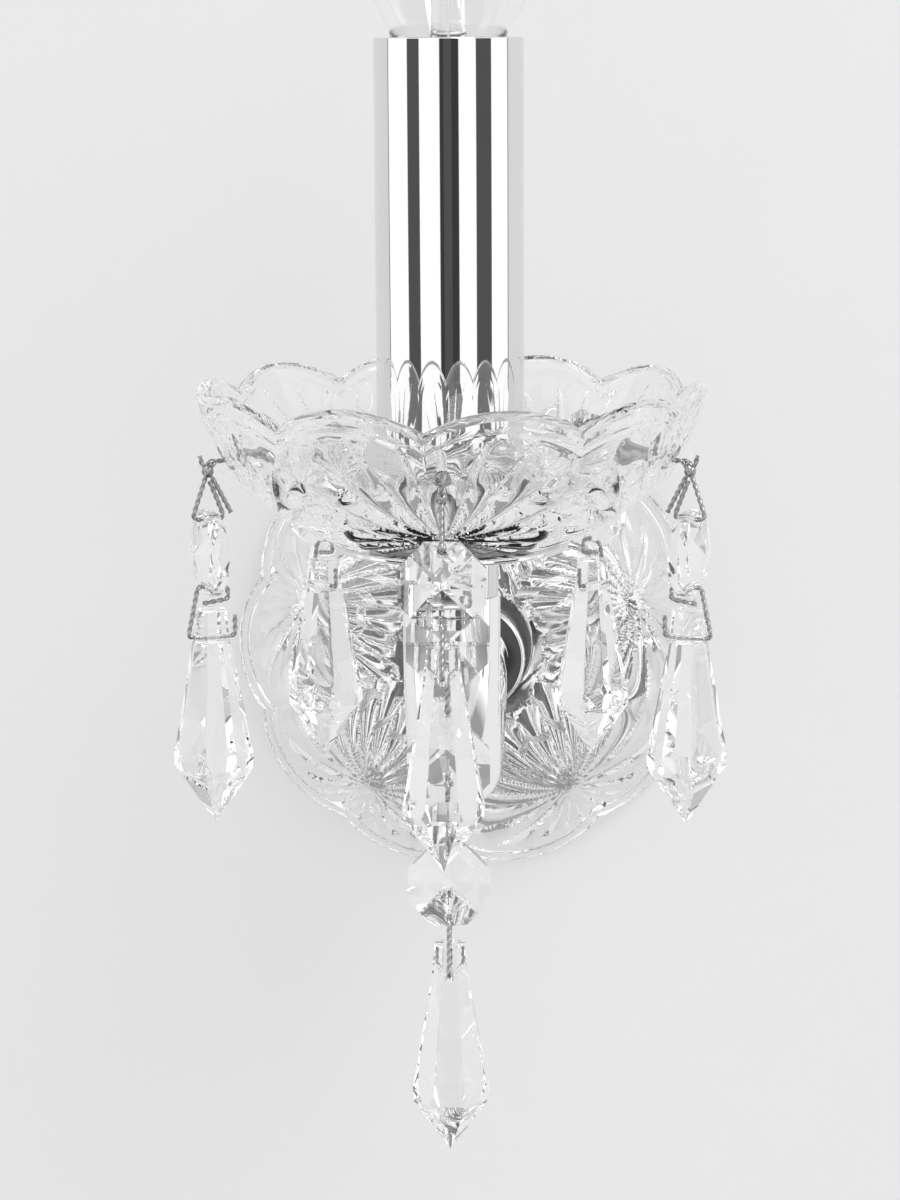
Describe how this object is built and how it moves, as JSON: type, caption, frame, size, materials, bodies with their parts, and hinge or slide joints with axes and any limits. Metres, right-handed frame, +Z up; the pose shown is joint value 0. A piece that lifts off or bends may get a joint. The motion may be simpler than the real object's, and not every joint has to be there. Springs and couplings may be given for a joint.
{
  "type": "crystal wall sconce",
  "caption": "Candle wall light: chrome wall plate behind a pressed glass dish, clear glass arm, scalloped glass drip bowl with hanging crystal pendants, chrome candle sleeve and clear bulb.",
  "frame": {"origin": "centre of the wall bracket's screw pattern, in the plane of the wall", "axes": "+Z up, +Y into the wall, so the lamp stands out along -Y; +X to the right of someone facing the wall"},
  "size_m": [0.105, 0.1721, 0.2635],
  "materials": {
    "pressed_glass": "clear pressed lead glass, fire polished, cut with fans of long leaves",
    "crystal": "clear cut crystal, polished flat facets",
    "arm_glass": "clear drawn glass tube",
    "bulb_glass": "thin clear blown glass",
    "chrome": "polished chrome plate",
    "link_wire": "bright twisted wire, chrome plated",
    "nickel": "nickel plated brass, drawn",
    "zinc_steel": "zinc plated steel",
    "brass": "plain brass",
    "solder": "dull solder",
    "filament": "drawn tungsten and nickel wire",
    "black_plastic": "moulded thermoset, dark",
    "black_glass": "dark vitrite",
    "white_plastic": "moulded nylon",
    "live_insulation": "clear white silicone sleeve",
    "neutral_insulation": "clear white silicone sleeve",
    "earth_insulation": "green and yellow sleeve",
    "rubber": "translucent silicone washer"
  },
  "bodies": {
    "sconce": {"wall_bracket": "zinc_steel", "wall_plate": "chrome", "plate_screws": "chrome", "terminal_block": "white_plastic", "earth_screw": "brass", "earth_wire": "earth_insulation", "wall_tube": "zinc_steel", "wall_nut": "zinc_steel", "dish_rear_washer": "rubber", "wall_dish": "pressed_glass", "dish_front_washer": "rubber", "wall_ferrule": "chrome", "glass_arm": "arm_glass", "live_wire": "live_insulation", "neutral_wire": "neutral_insulation", "top_ferrule": "chrome", "lamp_tube": "zinc_steel", "pan": "chrome", "bowl_lower_washer": "rubber", "drip_bowl": "pressed_glass", "bowl_upper_washer": "rubber", "bowl_nut": "zinc_steel", "lampholder": "black_plastic", "holder_liner": "brass", "holder_contact": "brass", "candle_sleeve": "chrome"},
    "bulb": {"bulb_cap": "nickel", "bulb_insulator": "black_glass", "bulb_contact": "solder", "bulb_glass": "bulb_glass", "bulb_stem": "bulb_glass", "bulb_filament": "filament"},
    "front_hook": {"front_hook": "link_wire"},
    "front_octagon": {"front_octagon": "crystal"},
    "front_link": {"front_link": "link_wire"},
    "front_drop": {"front_drop": "crystal"},
    "right_hook": {"right_hook": "link_wire"},
    "right_octagon": {"right_octagon": "crystal"},
    "right_link": {"right_link": "link_wire"},
    "right_drop": {"right_drop": "crystal"},
    "back_right_hook": {"back_right_hook": "link_wire"},
    "back_right_octagon": {"back_right_octagon": "crystal"},
    "back_right_link": {"back_right_link": "link_wire"},
    "back_right_drop": {"back_right_drop": "crystal"},
    "back_left_hook": {"back_left_hook": "link_wire"},
    "back_left_octagon": {"back_left_octagon": "crystal"},
    "back_left_link": {"back_left_link": "link_wire"},
    "back_left_drop": {"back_left_drop": "crystal"},
    "left_hook": {"left_hook": "link_wire"},
    "left_octagon": {"left_octagon": "crystal"},
    "left_link": {"left_link": "link_wire"},
    "left_drop": {"left_drop": "crystal"},
    "centre_hook": {"centre_hook": "link_wire"},
    "centre_octagon_1": {"centre_octagon_1": "crystal"},
    "centre_link_1": {"centre_link_1": "link_wire"},
    "centre_octagon_2": {"centre_octagon_2": "crystal"},
    "centre_link_2": {"centre_link_2": "link_wire"},
    "centre_octagon_3": {"centre_octagon_3": "crystal"},
    "centre_link_3": {"centre_link_3": "link_wire"},
    "centre_drop": {"centre_drop": "crystal"}
  },
  "joints": [
    {"name": "bulb_lift", "type": "slide", "parent": "sconce", "child": "bulb", "axis": [0, 0, 1], "range_m": [0, 0.03]},
    {"name": "front_hook_swing", "type": "hinge", "parent": "sconce", "child": "front_hook", "pos_m": [0, -0.1653, 0.06006], "axis": [0, -1, 0], "range_deg": [-20, 20]},
    {"name": "front_octagon_swing", "type": "hinge", "parent": "front_hook", "child": "front_octagon", "pos_m": [0, -0.1653, 0.05006], "axis": [0, -1, 0], "range_deg": [-15, 15]},
    {"name": "front_link_swing", "type": "hinge", "parent": "front_octagon", "child": "front_link", "pos_m": [0, -0.1653, 0.03828], "axis": [0, -1, 0], "range_deg": [-15, 15]},
    {"name": "front_drop_swing", "type": "hinge", "parent": "front_link", "child": "front_drop", "pos_m": [0, -0.1653, 0.02943], "axis": [0, -1, 0], "range_deg": [-18, 18]},
    {"name": "right_hook_swing", "type": "hinge", "parent": "sconce", "child": "right_hook", "pos_m": [0.04118, -0.13538, 0.06006], "axis": [0.9511, -0.309, 0], "range_deg": [-20, 20]},
    {"name": "right_octagon_swing", "type": "hinge", "parent": "right_hook", "child": "right_octagon", "pos_m": [0.04118, -0.13538, 0.05006], "axis": [0.9511, -0.309, 0], "range_deg": [-15, 15]},
    {"name": "right_link_swing", "type": "hinge", "parent": "right_octagon", "child": "right_link", "pos_m": [0.04118, -0.13538, 0.03828], "axis": [0.9511, -0.309, 0], "range_deg": [-15, 15]},
    {"name": "right_drop_swing", "type": "hinge", "parent": "right_link", "child": "right_drop", "pos_m": [0.04118, -0.13538, 0.02943], "axis": [0.9511, -0.309, 0], "range_deg": [-18, 18]},
    {"name": "back_right_hook_swing", "type": "hinge", "parent": "sconce", "child": "back_right_hook", "pos_m": [0.02545, -0.08697, 0.06006], "axis": [0.5878, 0.809, 0], "range_deg": [-20, 12]},
    {"name": "back_right_octagon_swing", "type": "hinge", "parent": "back_right_hook", "child": "back_right_octagon", "pos_m": [0.02545, -0.08697, 0.05006], "axis": [0.5878, 0.809, 0], "range_deg": [-15, 15]},
    {"name": "back_right_link_swing", "type": "hinge", "parent": "back_right_octagon", "child": "back_right_link", "pos_m": [0.02545, -0.08697, 0.03828], "axis": [0.5878, 0.809, 0], "range_deg": [-15, 15]},
    {"name": "back_right_drop_swing", "type": "hinge", "parent": "back_right_link", "child": "back_right_drop", "pos_m": [0.02545, -0.08697, 0.02943], "axis": [0.5878, 0.809, 0], "range_deg": [-18, 18]},
    {"name": "back_left_hook_swing", "type": "hinge", "parent": "sconce", "child": "back_left_hook", "pos_m": [-0.02545, -0.08697, 0.06006], "axis": [-0.5878, 0.809, 0], "range_deg": [-12, 20]},
    {"name": "back_left_octagon_swing", "type": "hinge", "parent": "back_left_hook", "child": "back_left_octagon", "pos_m": [-0.02545, -0.08697, 0.05006], "axis": [-0.5878, 0.809, 0], "range_deg": [-15, 15]},
    {"name": "back_left_link_swing", "type": "hinge", "parent": "back_left_octagon", "child": "back_left_link", "pos_m": [-0.02545, -0.08697, 0.03828], "axis": [-0.5878, 0.809, 0], "range_deg": [-15, 15]},
    {"name": "back_left_drop_swing", "type": "hinge", "parent": "back_left_link", "child": "back_left_drop", "pos_m": [-0.02545, -0.08697, 0.02943], "axis": [-0.5878, 0.809, 0], "range_deg": [-18, 18]},
    {"name": "left_hook_swing", "type": "hinge", "parent": "sconce", "child": "left_hook", "pos_m": [-0.04118, -0.13538, 0.06006], "axis": [-0.9511, -0.309, 0], "range_deg": [-20, 20]},
    {"name": "left_octagon_swing", "type": "hinge", "parent": "left_hook", "child": "left_octagon", "pos_m": [-0.04118, -0.13538, 0.05006], "axis": [-0.9511, -0.309, 0], "range_deg": [-15, 15]},
    {"name": "left_link_swing", "type": "hinge", "parent": "left_octagon", "child": "left_link", "pos_m": [-0.04118, -0.13538, 0.03828], "axis": [-0.9511, -0.309, 0], "range_deg": [-15, 15]},
    {"name": "left_drop_swing", "type": "hinge", "parent": "left_link", "child": "left_drop", "pos_m": [-0.04118, -0.13538, 0.02943], "axis": [-0.9511, -0.309, 0], "range_deg": [-18, 18]},
    {"name": "centre_hook_swing", "type": "hinge", "parent": "sconce", "child": "centre_hook", "pos_m": [0, -0.1415, 0.04456], "axis": [0, -1, 0], "range_deg": [-14, 14]},
    {"name": "centre_octagon_1_swing", "type": "hinge", "parent": "centre_hook", "child": "centre_octagon_1", "pos_m": [0, -0.1415, 0.03546], "axis": [0, -1, 0], "range_deg": [-14, 14]},
    {"name": "centre_link_1_swing", "type": "hinge", "parent": "centre_octagon_1", "child": "centre_link_1", "pos_m": [0, -0.1415, 0.02368], "axis": [0, -1, 0], "range_deg": [-14, 14]},
    {"name": "centre_octagon_2_swing", "type": "hinge", "parent": "centre_link_1", "child": "centre_octagon_2", "pos_m": [0, -0.1415, 0.01408], "axis": [0, -1, 0], "range_deg": [-14, 14]},
    {"name": "centre_link_2_swing", "type": "hinge", "parent": "centre_octagon_2", "child": "centre_link_2", "pos_m": [0, -0.1415, 0.0023], "axis": [0, -1, 0], "range_deg": [-14, 14]},
    {"name": "centre_octagon_3_swing", "type": "hinge", "parent": "centre_link_2", "child": "centre_octagon_3", "pos_m": [0, -0.1415, -0.0073], "axis": [0, -1, 0], "range_deg": [-14, 14]},
    {"name": "centre_link_3_swing", "type": "hinge", "parent": "centre_octagon_3", "child": "centre_link_3", "pos_m": [0, -0.1415, -0.01908], "axis": [0, -1, 0], "range_deg": [-14, 14]},
    {"name": "centre_drop_swing", "type": "hinge", "parent": "centre_link_3", "child": "centre_drop", "pos_m": [0, -0.1415, -0.02868], "axis": [0, -1, 0], "range_deg": [-14, 14]}
  ]
}
